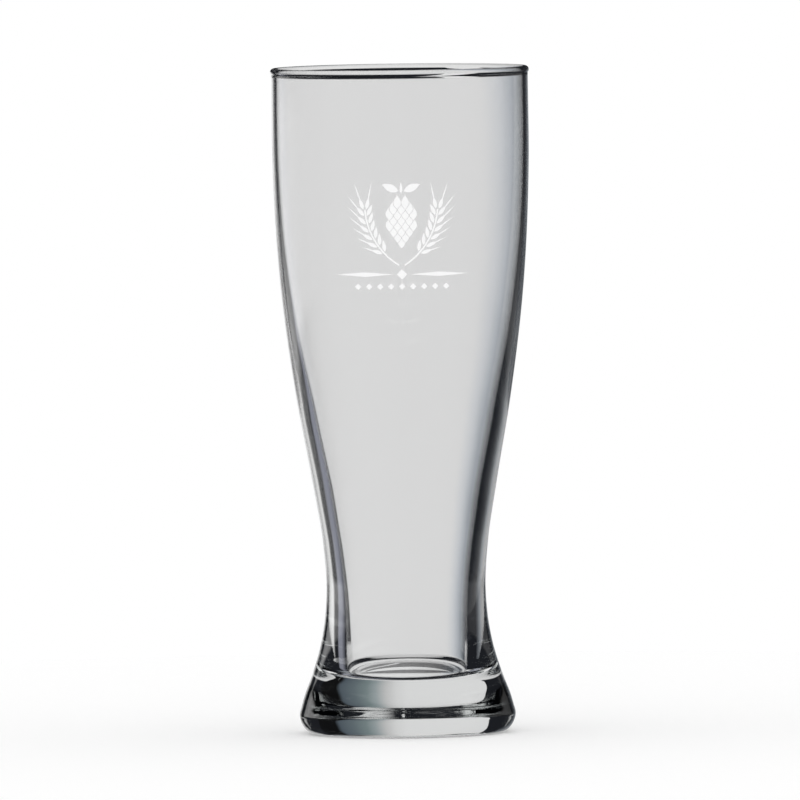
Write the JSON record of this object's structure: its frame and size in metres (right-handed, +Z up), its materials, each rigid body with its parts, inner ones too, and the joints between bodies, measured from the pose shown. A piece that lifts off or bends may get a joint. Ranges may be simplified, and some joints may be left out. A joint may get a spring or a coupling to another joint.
{
  "type": "pilsner glass",
  "caption": "Tall footed beer glass with a rim bead, a bowl tapering to a waist, a solid flared foot and a white barley and hop print on the front.",
  "frame": {"origin": "centre of the ring that the glass stands on", "axes": "+Z up the glass's axis of revolution, -Y towards the printed front, +X to the right as seen from the front"},
  "size_m": [0.0852, 0.0852, 0.219],
  "materials": {
    "clear_glass": "fire-polished clear soda-lime glass, faintly grey-green where it is thick",
    "white_enamel": "fired matt white glass enamel"
  },
  "bodies": {
    "root": {"glass_body": "clear_glass", "print_hop_cone": "white_enamel", "print_barley_left": "white_enamel", "print_barley_right": "white_enamel", "print_border": "white_enamel"}
  },
  "joints": []
}
